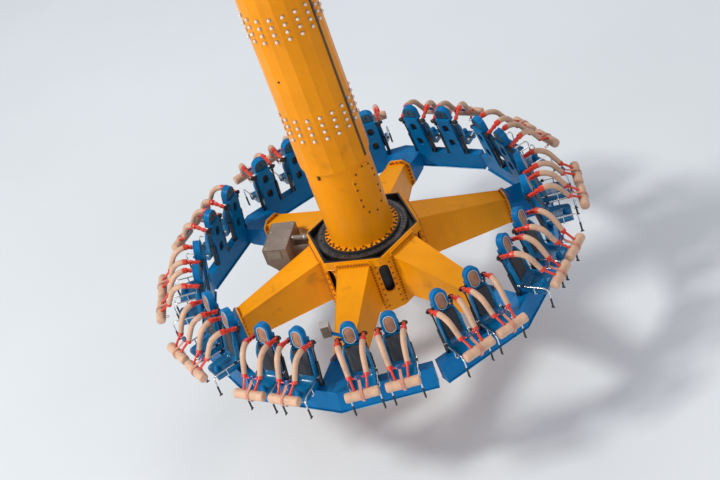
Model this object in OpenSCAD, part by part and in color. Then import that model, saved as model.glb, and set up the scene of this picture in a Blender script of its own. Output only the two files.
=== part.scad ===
// Gondola of a swinging pendulum ride, turning on a slewing ring under its swing arm.
// Millimetres. The origin is the centre of the arm's top flange face and +Z points up the arm.

/* [Arm] */
// Distance from the flange face down to the hub's top plane
arm_len = 6000; // [5400:50:7000]
// Step from the lower tube out to the sleeve's flats
sleeve_step = 35; // [25:1:50]
// Plate thickness of the sleeve and the lower tube
arm_wall = 20; // [14:1:30]
// Outer diameter of the lower tube
tube_d = 1200; // [1120:10:1220]
// Height of the seam between tube and sleeve above the hub's top plane
seam_h = 1700; // [1650:10:1900]
// Diameter of the top flange
flange_d = 1700; // [1640:10:1900]
// Thickness of the top flange
flange_t = 60; // [40:5:90]
// Diameter of the top flange's bolt circle
bolt_pcd = 1500; // [1440:10:1560]
// Number of bolts in the top flange
bolt_count = 24; // [16:4:32]
// Diameter of the top flange's bolt holes
bolt_d = 42; // [30:2:48]
// Width of the hatch cover
hatch_w = 540; // [440:10:580]
// Height of the hatch cover
hatch_h = 1050; // [900:10:1080]
// Height of the hatch's centre above the hub's top plane
hatch_z = 1090; // [1060:10:1100]
// Direction of the hatch
hatch_turn = -44; // [-60:1:-20]
// Width of the cable duct
duct_w = 40; // [30:5:80]
// Depth of the cable duct
duct_t = 25; // [20:5:50]
// Direction of the facet that carries the cable duct
duct_turn = -23; // [-43:20:17]

/* [Slewing ring] */
// Number of teeth on the slewing gear
gear_teeth = 120; // [90:6:150]
// Pitch diameter of the slewing gear
gear_d = 1680; // [1640:5:1690]
// Thickness of the slewing gear
gear_t = 80; // [60:5:100]
// Inner diameter of the slewing gear's race
race_d = 1400; // [1360:10:1440]
// Radial running clearance of the race
race_gap = 0.3; // [0.1:0.1:0.6]

/* [Hub] */
// Width of the hub across its flats
hub_w = 1888; // [1860:4:1960]
// Width of the top recess across its flats
recess_w = 1774; // [1764:2:1790]
// Height of the hub
hub_h = 1200; // [1100:10:1300]
// Depth of the top rim
rim_h = 150; // [130:5:170]
// Thickness of the hub's wall plates
hub_wall = 30; // [20:1:40]
// Distance of the slotted corner panels from the axis
corner_r = 1002; // [985:1:1015]
// Width of the slots in the corner panels
slot_w = 190; // [140:5:220]
// Height of the slots in the corner panels
slot_h = 620; // [480:10:700]

/* [Spokes] */
// Distance of the spoke's end flange face from the axis
spoke_r = 2680; // [2560:10:2760]
// Width of the spoke at the hub
root_w = 600; // [500:10:660]
// Height of the spoke at the hub
root_h = 880; // [780:10:940]
// Width of the spoke at its end flange
tip_w = 330; // [260:10:380]
// Height of the spoke at its end flange
tip_h = 540; // [460:10:600]
// Width of the end flange
tip_flange_w = 480; // [420:10:540]
// Height of the end flange
tip_flange_h = 690; // [620:10:740]

/* [Ring] */
// Distance of the beam's lower inner edge from the axis
ring_r = 3210; // [3150:10:3300]
// Width of the ring beam
beam_w = 180; // [140:5:220]
// Height of the ring beam
beam_h = 380; // [320:10:440]
// Distance from the hub's top plane down to the ring beam's top
beam_drop = 770; // [720:10:820]
// Open gap between neighbouring beams at the free corners
beam_gap = 80; // [60:5:160]

/* [Seats] */
// Distance between the middles of two neighbouring seats
seat_pitch = 700; // [680:5:740]
// Lean of the seat posts towards the axis in degrees
lean = 10.3; // [8:0.1:12]
// Width of the post at its foot
post_w = 310; // [280:5:330]
// Width of the post at its head
head_w = 270; // [240:5:280]
// Thickness of the post
post_t = 100; // [80:5:120]
// Height of the post's head above the hub's top plane
head_z = 400; // [360:5:440]
// Width of the seat shell
seat_w = 440; // [400:5:460]
// Depth of the seat pan
seat_depth = 500; // [440:5:540]
// Height of the seat surface below the hub's top plane
seat_drop = 620; // [590:5:650]

/* [Restraints] */
// Sideways distance of the shoulder tubes from the seat's middle at the head
tube_out = 228; // [215:1:240]
// Diameter of the padded shoulder tubes
pad_d = 108; // [90:2:120]
// Radius of the shoulder tube's bend
bend_r = 300; // [240:10:340]
// Length of the red bracket
bracket_l = 270; // [240:5:300]
// Diameter of the restraint's pivot axle
axle_d = 50; // [40:1:60]
// Running clearance round the pivot axle
axle_gap = 0.3; // [0.1:0.1:0.6]
// Diameter of the lap roller
roller_d = 190; // [160:5:200]
// Width of the lap roller
roller_w = 620; // [560:5:640]

/* [Hidden] */
$fn = 64;

yellow = [0.95, 0.62, 0.08];
blue = [0.05, 0.33, 0.68];
red = [0.85, 0.16, 0.08];
beige = [0.78, 0.62, 0.47];
steel = [0.75, 0.76, 0.78];
black = [0.07, 0.07, 0.08];
cover_grey = [0.45, 0.38, 0.34];

spoke_count = 6;
spoke_turn = 15;
edge_count = 12;
edge_step = 360 / edge_count;
sleeve_flats = 18;
seam_t = 30;
sleeve_w = tube_d + 2 * sleeve_step;
foot_d = tube_d + 250;
foot_t = 45;
foot_z = -15;
hatch_t = 14;
hatch_lap = 40;
gear_top = foot_z;
tooth_h = 30;
floor_t = 40;
floor_top = 40 - rim_h;
bottom_t = 40;
root_flange_t = 30;
root_flange_w = 700;
root_top = -110;
tip_flange_t = 30;
tip_flange_top = -560;
tip_top = -630;
tip_chamfer = 120;
lip_t = 16;
lip_out = 24;
block_gap = 22;
block_w = 2 * ((ring_r * tan(edge_step / 2) - (seat_pitch + post_w) / 2) * cos(edge_step / 2) - block_gap);
block_r = ring_r - 90;
block_sink = 15;
block_step = 4;
hole_w = 130;
hole_h = 210;
hole_low = -450;
hole_high = -60;
shell_t = 50;
pan_t = 70;
shell_top = 40;
bolster_t = 36;
bolster_deep = 110;
pad_t = 40;
post_sink = 5;
step_z = 170;
head_inset = 45;
cap_t = 60;
cap_wall = 46;
cap_skirt = 190;
pad_slack = 2;
rail_d = 28;
rail_in = 20;
rail_back = 20;
stay_in = 180;
stay_d = 22;
rail_rise = 120;
rail_leg = 340;
rail_bend = 90;
joint_lap = 6;
joint_step = 2;
bracket_rise = 22;
bracket_w = 46;
bracket_h = 64;
eye_wall = 18;
eye_step = 4;
tube_rise = 15;
tube_fall = 60;
tube_run = 280;
yaw = 9.2;
roller_r = ring_r + 760;
roller_drop = 370;
bar_d = 44;
chest_d = 130;
chest_t = 44;
cover_r = 1400;
cover_l = 460;
cover_w = 780;
cover_h = 450;
cover_slope = 120;
nose_t = 90;
arm_gap = 122;
arm_t = 30;
arm_h = 240;
arm_top = -170;
conduit_d = 90;
rim_cut = 28;
gusset_t = 16;
gusset_gap = 45;
gusset_w = (bolt_pcd - sleeve_w) / 2 - gusset_gap;
gusset_h = 200;
gusset_edge = 25;
clevis_w = 70;
clevis_t = 44;
clevis_h = 80;
clevis_lap = 20;
cylinder_out = 207;
barrel_d = 64;
barrel_top = -300;
rod_d = 28;
rod_top = 12;
rod_eye_d = 56;
box_at = [ring_r - 328, -380, 267];
box_size = [160, 150, 240];
strut_d = 56;
strut_z = 60;
strut_y = -85;
strut_pad = 90;
strut_pad_t = 40;
pivot_z = 100;
pivot_inset = 50;
face_gap = 0.05;
feature = 0.01;

// Points of a regular polygon with its flats facing turn and every further step
function flats(n, apothem, turn) =
    [for (i = [0 : n - 1]) let (a = turn + (i + 0.5) * 360 / n) apothem / cos(180 / n) * [cos(a), sin(a)]];

// Distance of the posts' inner face from the axis at a height over the hub's top plane
function inner_r(z) = ring_r - (z + beam_drop + beam_h) * tan(lean);

// Distance of the posts' front face from the axis at a height over the hub's top plane
function front_r(z) = inner_r(z) + post_t / cos(lean);

module ngon(n, apothem, turn) {
    polygon(flats(n, apothem, turn));
}

// Moves its children from the flange face down to the hub's top plane
module at_hub() {
    translate([0, 0, -arm_len])
        children();
}

// Repeats its children once per spoke, with +X along the spoke
module each_spoke() {
    for (i = [0 : spoke_count - 1])
        rotate(spoke_turn + i * 360 / spoke_count)
            children();
}

// Places its children at one seat: +X points outward and Y is along the ring's edge
module at_seat(index) {
    rotate(floor(index / 2) * edge_step)
        translate([0, (index % 2 - 0.5) * seat_pitch, -arm_len])
            children();
}

// Repeats its children at all seats
module each_seat() {
    for (i = [0 : 2 * edge_count - 1])
        at_seat(i)
            children();
}

// Leans its children with the seat posts: X is out of the inner face and Z runs up it from the beam's foot
module leaned() {
    translate([ring_r, 0, -beam_drop - beam_h])
        rotate([0, -lean, 0])
            children();
}

// Flat outline with round ends
module racetrack(w, h) {
    translate([-w / 2, -(h - w) / 2])
        square([w, h - w]);
    for (s = [-1, 1])
        translate([0, s * (h - w) / 2])
            circle(d = w);
}

// Annulus standing on its lower face
module ring(r_out, r_in, h) {
    difference() {
        cylinder(r = r_out, h = h);
        translate([0, 0, -1])
            cylinder(r = r_in, h = h + 2);
    }
}

module arm_flange() {
    color(yellow)
        difference() {
            translate([0, 0, -flange_t])
                cylinder(d = flange_d, h = flange_t);
            for (i = [0 : bolt_count - 1])
                rotate((i + 0.5) * 360 / bolt_count)
                    translate([bolt_pcd / 2, 0, -flange_t - 1])
                        cylinder(d = bolt_d, h = flange_t + 2);
        }
}

module arm_sleeve() {
    low = -arm_len + seam_h + seam_t;
    color(yellow)
        translate([0, 0, low])
            linear_extrude(-flange_t - low)
                difference() {
                    ngon(sleeve_flats, sleeve_w / 2, duct_turn);
                    ngon(sleeve_flats, sleeve_w / 2 - arm_wall, duct_turn);
                }
}

module seam_ring() {
    color(yellow)
        at_hub()
            translate([0, 0, seam_h])
                ring(sleeve_w / 2 - 5, tube_d / 2 - arm_wall, seam_t);
}

// Radial prism through the tube's wall with a racetrack outline
module hatch_prism(w, h) {
    rotate(hatch_turn)
        translate([tube_d / 4, 0, hatch_z])
            rotate([90, 0, 90])
                linear_extrude(tube_d / 2)
                    racetrack(w, h);
}

module lower_tube() {
    low = foot_z + foot_t;
    color(yellow)
        at_hub()
            difference() {
                translate([0, 0, low])
                    ring(tube_d / 2, tube_d / 2 - arm_wall, seam_h - low);
                hatch_prism(hatch_w - 2 * hatch_lap, hatch_h - 2 * hatch_lap);
            }
}

module hatch_cover() {
    color(yellow)
        at_hub()
            intersection() {
                translate([0, 0, hatch_z - hatch_h / 2 - 1])
                    ring(tube_d / 2 + hatch_t, tube_d / 2, hatch_h + 2);
                hatch_prism(hatch_w, hatch_h);
            }
}

module foot_flange() {
    color(yellow)
        at_hub()
            translate([0, 0, foot_z])
                ring(foot_d / 2, tube_d / 2 - arm_wall, foot_t);
}

// Outline of the gear: straight-sided teeth, four points each
module gear_outline() {
    step = 360 / gear_teeth;
    root = gear_d / 2 - tooth_h * 0.55;
    tip = gear_d / 2 + tooth_h * 0.45;
    polygon([for (i = [0 : gear_teeth - 1], c = [[root, -0.36], [tip, -0.17], [tip, 0.17], [root, 0.36]])
        c[0] * [cos((i + c[1]) * step), sin((i + c[1]) * step)]]);
}

module slewing_gear() {
    color(black)
        at_hub()
            translate([0, 0, gear_top - gear_t])
                difference() {
                    linear_extrude(gear_t)
                        gear_outline();
                    translate([0, 0, -1])
                        cylinder(d = race_d, h = gear_t + 2);
                }
}

// Duct along the edge of one facet, from the seam up to the top flange
module cable_duct() {
    low = seam_h + seam_t;
    facet_half = sleeve_w / 2 * tan(180 / sleeve_flats);
    color(black)
        at_hub()
            rotate(duct_turn)
                translate([sleeve_w / 2, -facet_half, low])
                    cube([duct_t, duct_w, arm_len - flange_t - low]);
}

module bearing_ring() {
    color(black)
        at_hub()
            translate([0, 0, floor_top])
                ring(race_d / 2 - race_gap, race_d / 2 - 90, gear_top - 6 - floor_top);
}

module hub_rim() {
    color(yellow)
        at_hub()
            translate([0, 0, -rim_h])
                linear_extrude(rim_h)
                    difference() {
                        intersection() {
                            ngon(spoke_count, hub_w / 2, spoke_turn);
                            ngon(spoke_count, hub_w / 2 / cos(30) - rim_cut, spoke_turn + 30);
                        }
                        ngon(spoke_count, recess_w / 2, spoke_turn);
                    }
}

module hub_floor() {
    color(black)
        at_hub()
            translate([0, 0, floor_top - floor_t])
                linear_extrude(floor_t)
                    difference() {
                        ngon(spoke_count, recess_w / 2, spoke_turn);
                        circle(d = race_d - 180);
                    }
}

// Outline of the hub below its rim: six wide faces and six narrow corner faces
module drum_outline(scale_by) {
    intersection() {
        ngon(spoke_count, hub_w / 2 * scale_by, spoke_turn);
        ngon(spoke_count, corner_r * scale_by, spoke_turn + 30);
    }
}

// Half the width of the wide faces, where they meet the corner faces
function face_half() = (corner_r - hub_w / 2 * cos(30)) / sin(30);

// Part of the hub's wall outline between the two rays through the ends of a wide face
module wall_outline(corner) {
    half = atan(face_half() / (hub_w / 2));
    a = corner ? 30 - half : half;
    intersection() {
        difference() {
            drum_outline(1);
            drum_outline(1 - hub_wall / (hub_w / 2));
        }
        rotate(spoke_turn + (corner ? 30 : 0))
            polygon([[0, 0], hub_w * [1, -tan(a)], hub_w * [1, tan(a)]]);
    }
}

module hub_face_plates() {
    color(yellow)
        at_hub()
            for (i = [0 : spoke_count - 1])
                rotate(i * 360 / spoke_count)
                    translate([0, 0, -hub_h])
                        linear_extrude(hub_h - rim_h)
                            wall_outline(false);
}

module hub_corner_panels() {
    color(yellow)
        at_hub()
            for (i = [0 : spoke_count - 1])
                rotate(i * 360 / spoke_count)
                    difference() {
                        translate([0, 0, -hub_h])
                            linear_extrude(hub_h - rim_h)
                                wall_outline(true);
                        rotate(spoke_turn + 30)
                            translate([corner_r - 3 * hub_wall, 0, -rim_h - 60 - slot_h / 2])
                                rotate([90, 0, 90])
                                    linear_extrude(6 * hub_wall)
                                        racetrack(slot_w, slot_h);
                    }
}

module hub_bottom_plate() {
    color(yellow)
        at_hub()
            translate([0, 0, -hub_h - bottom_t])
                linear_extrude(bottom_t)
                    drum_outline(1);
}

// Flange plate with cut corners, standing across the spoke
module cut_plate(w, top, h, cut, t) {
    rotate([90, 0, 90])
        linear_extrude(t)
            translate([-w / 2, top - h])
                polygon([[cut, 0], [w - cut, 0], [w, cut], [w, h - cut], [w - cut, h], [cut, h], [0, h - cut], [0, cut]]);
}

module spoke() {
    r0 = hub_w / 2 + face_gap;
    cut_r = r0 + root_flange_t;
    translate([r0, 0, 0])
        cut_plate(root_flange_w, -20, hub_h - 30, 40, root_flange_t);
    hull() {
        translate([cut_r, -root_w / 2, root_top - root_h])
            cube([feature, root_w, root_h]);
        translate([spoke_r - tip_flange_t, -tip_w / 2, tip_top - tip_h])
            cube([feature, tip_w, tip_h]);
    }
    translate([spoke_r - tip_flange_t, 0, 0])
        cut_plate(tip_flange_w, tip_flange_top, tip_flange_h, tip_chamfer, tip_flange_t);
}

module spokes() {
    color(yellow)
        at_hub()
            each_spoke()
                spoke();
}

// Leaning box beam along one edge of the ring, from y0 to y1
module beam(y0, y1) {
    out = ring_r + beam_w;
    rise = beam_h * tan(lean);
    translate([0, y1, -beam_drop - beam_h])
        rotate([90, 0, 0])
            linear_extrude(y1 - y0)
                polygon([[ring_r, 0], [out, 0], [out - rise, beam_h], [ring_r - rise, beam_h]]);
    translate([ring_r - lip_out, y0, -beam_drop - beam_h - lip_t])
        cube([beam_w + 2 * lip_out, y1 - y0, lip_t]);
}

// Two half edges that meet at the spoke's end, with the block that bolts to the spoke
module ring_segment() {
    half = ring_r * tan(edge_step / 2);
    far = ring_r * 2;
    plate_r = spoke_r + tip_flange_t;
    side = block_w / 2 - block_step;
    corner_x = (ring_r + block_sink) / cos(edge_step / 2);
    side_x = corner_x - side * tan(edge_step / 2);
    for (s = [-1, 1])
        intersection() {
            rotate(s * edge_step / 2)
                beam(s > 0 ? -half * 1.2 : -half + beam_gap / 2, s > 0 ? half - beam_gap / 2 : half * 1.2);
            translate([0, 0, -far / 2])
                linear_extrude(far)
                    polygon([[0, 0], far * [1, 0], far * [cos(edge_step), s * sin(edge_step)]]);
        }
    translate([spoke_r, 0, 0])
        cut_plate(tip_flange_w, tip_flange_top, tip_flange_h, tip_chamfer, tip_flange_t);
    hull() {
        translate([plate_r - feature, -tip_flange_w / 2, -beam_drop - beam_h])
            cube([feature, tip_flange_w, beam_h + 60]);
        translate([block_r, -block_w / 2, -beam_drop - beam_h])
            cube([feature, block_w, beam_h]);
    }
    translate([0, 0, -beam_drop - beam_h + block_step])
        linear_extrude(beam_h - 2 * block_step)
            polygon([[block_r - block_step, -side], [side_x, -side], [corner_x, 0], [side_x, side],
                [block_r - block_step, side]]);
}

module ring_segments() {
    color(blue)
        at_hub()
            each_spoke()
                ring_segment();
}

// Height measured up the leaning face for a height over the hub's top plane
function up(z) = (z + beam_drop + beam_h) / cos(lean);

// Outline of the headrest's recess, or of the pad in it when slack is given
module head_recess(slack) {
    w = head_w - 2 * cap_wall - 2 * slack;
    translate([0, -cap_skirt / 2 + 15])
        racetrack(w, w + cap_skirt - 60);
}

module post() {
    foot = up(-beam_drop) - post_t * tan(lean) - post_sink;
    head = up(head_z) - head_w / 2;
    difference() {
        leaned()
            rotate([90, 0, 90])
                linear_extrude(post_t) {
                    polygon([[-post_w / 2, foot], [post_w / 2, foot], [head_w / 2, head], [-head_w / 2, head]]);
                    translate([0, head])
                        circle(d = head_w);
                }
        leaned() {
            translate([-1, -head_w, up(step_z)])
                cube([head_inset + 1, 2 * head_w, head_w * 2]);
            for (z = [hole_low, hole_high])
                translate([-1, 0, up(z)])
                    rotate([90, 0, 90])
                        linear_extrude(post_t + 2)
                            racetrack(hole_w, hole_h);
        }
        translate([ring_r - beam_w, -post_w, -beam_drop - 2 * beam_w])
            cube([2 * beam_w, 2 * post_w, 2 * beam_w + face_gap]);
    }
    leaned()
        translate([post_t, 0, head])
            rotate([90, 0, 90])
                linear_extrude(cap_t)
                    difference() {
                        union() {
                            circle(d = head_w);
                            translate([-head_w / 2, -cap_skirt])
                                square([head_w, cap_skirt]);
                        }
                        head_recess(0);
                    }
    translate([pivot_r(), axle_l / 2, pivot_z])
        rotate([90, 0, 0])
            cylinder(d = axle_d, h = axle_l);
}

axle_l = 2 * tube_out + pad_d;

// Distance of the restraint's pivot from the axis
function pivot_r() = inner_r(pivot_z) + pivot_inset;

module seat_posts() {
    color(blue)
        each_seat()
            post();
}

// Side outline of the seat shell: back, pan and the bend between them
module shell_side(deep) {
    top = shell_top;
    low = -seat_drop;
    rear = front_r(low);
    nose = rear + seat_depth;
    polygon([[front_r(top) + face_gap, top], [front_r(low - pan_t) + face_gap, low - pan_t], [nose - 60, low - pan_t],
        [nose, low - pan_t + 30], [nose, low - 15], [nose - 15, low], [rear + deep + 90, low],
        [front_r(low + 90) + deep, low + 90], [front_r(top) + deep, top]]);
}

module shell() {
    rotate([90, 0, 0])
        translate([0, 0, -seat_w / 2])
            linear_extrude(seat_w)
                shell_side(shell_t);
    for (s = [-1, 1])
        translate([0, s > 0 ? seat_w / 2 : -seat_w / 2 + bolster_t, 0])
            rotate([90, 0, 0])
                linear_extrude(bolster_t)
                    shell_side(bolster_deep);
    translate([front_r(-seat_drop) + seat_depth - 100, 0, -seat_drop - 10])
        cylinder(d = 110, h = 50);
    translate([front_r(-seat_drop) + seat_depth - 100, 0, -seat_drop + 40])
        sphere(d = 110);
}

module seat_shells() {
    color(blue)
        each_seat()
            shell();
}

module back_pad() {
    low = -seat_drop + 110;
    w = seat_w - 2 * bolster_t - 12;
    translate([0, w / 2, 0])
        rotate([90, 0, 0])
            linear_extrude(w)
                polygon([[front_r(low) + shell_t, low], [front_r(low) + shell_t + pad_t, low],
                    [front_r(shell_top - 10) + shell_t + pad_t, shell_top - 10],
                    [front_r(shell_top - 10) + shell_t, shell_top - 10]]);
}

module back_pads() {
    color(black)
        each_seat()
            back_pad();
}

module head_pads() {
    head = up(head_z) - head_w / 2;
    color(beige)
        each_seat()
            leaned()
                translate([post_t, 0, head])
                    rotate([90, 0, 90])
                        linear_extrude(cap_t + 10)
                            head_recess(pad_slack);
}

// Bent rail beside the seat: straight out from the shell's side, then down to its foot
module side_rail() {
    y = seat_w / 2 + rail_in + rail_d / 2;
    r0 = front_r(-seat_drop) + rail_back;
    run = seat_depth - rail_back;
    z = -seat_drop + rail_rise;
    translate([r0, y, z])
        rotate([0, 90, 0])
            cylinder(d = rail_d - joint_step, h = run + joint_lap);
    translate([r0 + run, y, z - rail_bend])
        rotate([90, 0, 0])
            rotate_extrude(angle = 90)
                translate([rail_bend, 0])
                    circle(d = rail_d);
    translate([r0 + run + rail_bend, y, z - rail_bend - rail_leg])
        cylinder(d = rail_d - joint_step, h = rail_leg + joint_lap);
    translate([r0 + rail_d, seat_w / 2 + face_gap, z])
        rotate([-90, 0, 0])
            cylinder(d = stay_d, h = rail_in + rail_d / 2);
    translate([r0 + run - stay_in, y, -seat_drop - stay_d])
        cylinder(d = stay_d, h = rail_rise + stay_d);
    translate([r0 + run - stay_in - stay_d, seat_w / 2 + face_gap, -seat_drop - 2 * stay_d])
        cube([2 * stay_d, rail_in + rail_d / 2, 1.5 * stay_d]);
}

module side_rails() {
    color(steel)
        each_seat()
            for (s = [0, 1])
                mirror([0, s, 0])
                    side_rail();
}

// Ribs between the sleeve's facets and the top flange
module flange_gussets() {
    color(yellow)
        for (i = [0 : sleeve_flats - 1])
            rotate(duct_turn + i * 360 / sleeve_flats)
                translate([sleeve_w / 2 + face_gap, gusset_t / 2, -flange_t - face_gap])
                    rotate([90, 0, 0])
                        linear_extrude(gusset_t)
                            polygon([[0, 0], [gusset_w, 0], [gusset_w, -gusset_edge], [gusset_edge, -gusset_h],
                                [0, -gusset_h]]);
}

// Cylinder that locks a restraint: it stands on the beam beside the post and its rod ends under the pivot
module lock_cylinder() {
    r = front_r(-beam_drop + clevis_h) - post_t / 2;
    barrel_foot = up(clevis_h - clevis_lap - beam_drop);
    translate([r - clevis_w / 2, -clevis_t / 2, -beam_drop + face_gap])
        cube([clevis_w, clevis_t, clevis_h]);
    leaned()
        translate([post_t / 2, 0, 0]) {
            translate([0, 0, barrel_foot])
                cylinder(d = barrel_d, h = up(barrel_top) - barrel_foot);
            translate([0, 0, up(barrel_top) - clevis_lap])
                cylinder(d = rod_d, h = up(rod_top) - up(barrel_top) + clevis_lap);
            translate([0, clevis_t / 2, up(rod_top)])
                rotate([90, 0, 0])
                    cylinder(d = rod_eye_d, h = clevis_t);
        }
}

module lock_cylinders() {
    color(black)
        each_seat()
            for (s = [-1, 1])
                translate([0, s * cylinder_out, 0])
                    lock_cylinder();
}

// Box on a strut from the inner face of one seat post
module control_box() {
    color(cover_grey)
        at_seat(18) {
            translate(box_at - box_size / 2)
                cube(box_size);
            rod(box_at - [0, 0, box_size[2] / 4], [inner_r(strut_z) - strut_pad_t * 0.85, strut_y, strut_z], strut_d);
            leaned()
                translate([-strut_pad_t - face_gap, strut_y - strut_pad / 2, up(strut_z) - strut_pad / 2])
                    cube([strut_pad_t, strut_pad, strut_pad]);
        }
}

// Housing of the drive between two spokes, on two arms from the hub's corner panel, with a conduit to the rim
module drive_cover() {
    rim_corner = hub_w / 2 / cos(30) - rim_cut;
    low = -cover_h;
    color(cover_grey)
        at_hub()
            rotate(spoke_turn + 150) {
                translate([cover_r, cover_w / 2, 0])
                    rotate([90, 0, 0])
                        linear_extrude(cover_w)
                            polygon([[0, low], [cover_l - cover_slope, low], [cover_l, low + cover_slope], [cover_l, 0], [0, 0]]);
                translate([cover_r + 60, -cover_w / 2 - nose_t, low + 40])
                    cube([cover_l - 160, nose_t, cover_h - 120]);
                for (s = [-1, 1])
                    translate([corner_r + face_gap, s * arm_gap - arm_t / 2, arm_top - arm_h])
                        cube([cover_r - corner_r, arm_t, arm_h]);
                translate([rim_corner + face_gap, 0, -rim_h / 2])
                    rotate([0, 90, 0])
                        cylinder(d = conduit_d, h = cover_r - rim_corner);
            }
}

// Cylinder between two points
module rod(from, to, d) {
    v = to - from;
    translate(from)
        rotate([0, atan2(norm([v[0], v[1]]), v[2]), atan2(v[1], v[0])])
            cylinder(d = d, h = norm(v));
}

// Side view points of a shoulder tube, outward and up from the pivot: start, bend's centre, bend's end, tube's end
tube_start = bracket_l * [cos(bracket_rise), sin(bracket_rise)];
bend_centre = tube_start + bend_r * [sin(tube_rise), -cos(tube_rise)];
bend_end = bend_centre + bend_r * [sin(tube_fall), cos(tube_fall)];
tube_end = bend_end + tube_run * [cos(tube_fall), -sin(tube_fall)];

// Middle of the lap roller, outward and up from the pivot
function roller_at() = [roller_r - pivot_r(), -roller_drop - pivot_z];

// Sideways place of the shoulder tube at a distance out from the pivot
function tube_side(x) = tube_out - (x - tube_start[0]) * tan(yaw);

// Red bracket from the pivot to the shoulder tube
module bracket() {
    bore = axle_d / 2 + axle_gap;
    difference() {
        union() {
            translate([0, bracket_w / 2 + eye_step, 0])
                rotate([90, 0, 0])
                    cylinder(r = bore + eye_wall, h = bracket_w + 2 * eye_step);
            rotate([0, -bracket_rise, 0])
                translate([0, -bracket_w / 2, -bracket_h / 2])
                    cube([bracket_l + 20, bracket_w, bracket_h]);
        }
        translate([0, bracket_w, 0])
            rotate([90, 0, 0])
                cylinder(r = bore, h = 2 * bracket_w);
    }
}

// Padded tube: a bend over the shoulder and a straight run down the chest
module shoulder_tube() {
    translate([tube_start[0], 0, 0])
        rotate([0, 0, -yaw])
            translate([-tube_start[0], 0, 0])
                rotate([90, 0, 0]) {
                    translate(bend_centre)
                        rotate(90 - tube_fall)
                            rotate_extrude(angle = tube_rise + tube_fall)
                                translate([bend_r, 0])
                                    circle(d = pad_d);
                    translate(bend_end)
                        rotate(-tube_fall)
                            translate([-joint_lap, 0])
                                rotate([0, 90, 0])
                                    cylinder(d = pad_d - joint_step, h = tube_run + joint_lap);
                }
}

module restraint(index) {
    low = [tube_end[0], 0, tube_end[1]];
    side = tube_side(tube_end[0]);
    hub = [roller_at()[0], 0, roller_at()[1]];
    at_seat(index)
        translate([pivot_r(), 0, pivot_z]) {
            for (s = [0, 1])
                mirror([0, s, 0]) {
                    color(red)
                        translate([0, tube_out, 0])
                            bracket();
                    color(beige)
                        translate([0, tube_out, 0])
                            shoulder_tube();
                    color(red)
                        rod([low[0] - 30, side, low[2] + 40], [hub[0], side - 50, hub[2]], bar_d);
                }
            color(red)
                rod([low[0], -side, low[2]], [low[0], side, low[2]], bar_d - 14);
            color(blue)
                translate(low)
                    rotate([0, tube_fall, 0])
                        translate([0, 0, -chest_t / 2])
                            cylinder(d = chest_d, h = chest_t);
            color(beige)
                translate([hub[0], roller_w / 2, hub[2]])
                    rotate([90, 0, 0])
                        cylinder(d = roller_d, h = roller_w);
        }
}

arm_flange();
arm_sleeve();
seam_ring();
lower_tube();
hatch_cover();
foot_flange();
slewing_gear();
cable_duct();
bearing_ring();
hub_rim();
hub_floor();
hub_face_plates();
hub_corner_panels();
hub_bottom_plate();
spokes();
ring_segments();
seat_posts();
seat_shells();
back_pads();
head_pads();
side_rails();
drive_cover();
flange_gussets();
lock_cylinders();
control_box();
restraint(0);  // restraint_01
restraint(1);  // restraint_02
restraint(2);  // restraint_03
restraint(3);  // restraint_04
restraint(4);  // restraint_05
restraint(5);  // restraint_06
restraint(6);  // restraint_07
restraint(7);  // restraint_08
restraint(8);  // restraint_09
restraint(9);  // restraint_10
restraint(10);  // restraint_11
restraint(11);  // restraint_12
restraint(12);  // restraint_13
restraint(13);  // restraint_14
restraint(14);  // restraint_15
restraint(15);  // restraint_16
restraint(16);  // restraint_17
restraint(17);  // restraint_18
restraint(18);  // restraint_19
restraint(19);  // restraint_20
restraint(20);  // restraint_21
restraint(21);  // restraint_22
restraint(22);  // restraint_23
restraint(23);  // restraint_24
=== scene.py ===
import math

import bmesh
import bpy
from mathutils import Matrix, Vector
from mathutils.noise import noise


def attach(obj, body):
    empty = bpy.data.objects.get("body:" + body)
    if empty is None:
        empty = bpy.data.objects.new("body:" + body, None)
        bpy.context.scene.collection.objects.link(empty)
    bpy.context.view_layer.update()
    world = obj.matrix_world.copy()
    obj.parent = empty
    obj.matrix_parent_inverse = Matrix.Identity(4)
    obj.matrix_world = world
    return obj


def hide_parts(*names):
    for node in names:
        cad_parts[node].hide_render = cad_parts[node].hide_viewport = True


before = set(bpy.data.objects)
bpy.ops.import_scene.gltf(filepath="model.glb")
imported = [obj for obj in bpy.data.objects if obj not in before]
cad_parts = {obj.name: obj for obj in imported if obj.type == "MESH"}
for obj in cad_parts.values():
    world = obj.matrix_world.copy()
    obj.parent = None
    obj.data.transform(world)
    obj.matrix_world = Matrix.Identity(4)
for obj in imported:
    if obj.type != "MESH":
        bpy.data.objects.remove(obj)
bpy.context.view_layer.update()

# Sizes in metres, as the part has them. Heights are over the hub's top plane, which is at HUB_Z.
HUB_Z = -6.0

# Ring, seats and posts
BEAMS = 12
SEATS = 24
SEAT_PITCH = 0.7
LEAN = math.radians(10.3)
RING_R = 3.210
BEAM_FOOT = -1.15
BEAM_W = 0.18
POST_T = 0.1
POST_FOOT_Z = -0.77
HEAD_Z = 0.4
HEAD_W = 0.27
HEAD_SKIRT = 0.19
HEAD_RIM = 0.046
CAP_T = 0.060
STEP_Z = 0.17
HOLE_W = 0.13
HOLE_H = 0.21
HOLES_Z = (-0.45, -0.06)
SEAT_Z = -0.62
SEAT_W = 0.44
SEAT_DEPTH = 0.5

# Restraints
PIVOT_Z = 0.1
TUBE_OUT = 0.228
PAD_R = 0.054
YAW = math.radians(9.2)
BEND_R = 0.3
RISE = math.radians(15)
FALL = math.radians(60)
TUBE_RUN = 0.28
BRACKET_L = 0.27
BRACKET_RISE = math.radians(22)
ROLLER_AT = (3.970, -0.370)
ROLLER_R = 0.095
ROLLER_W = 0.62

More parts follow.
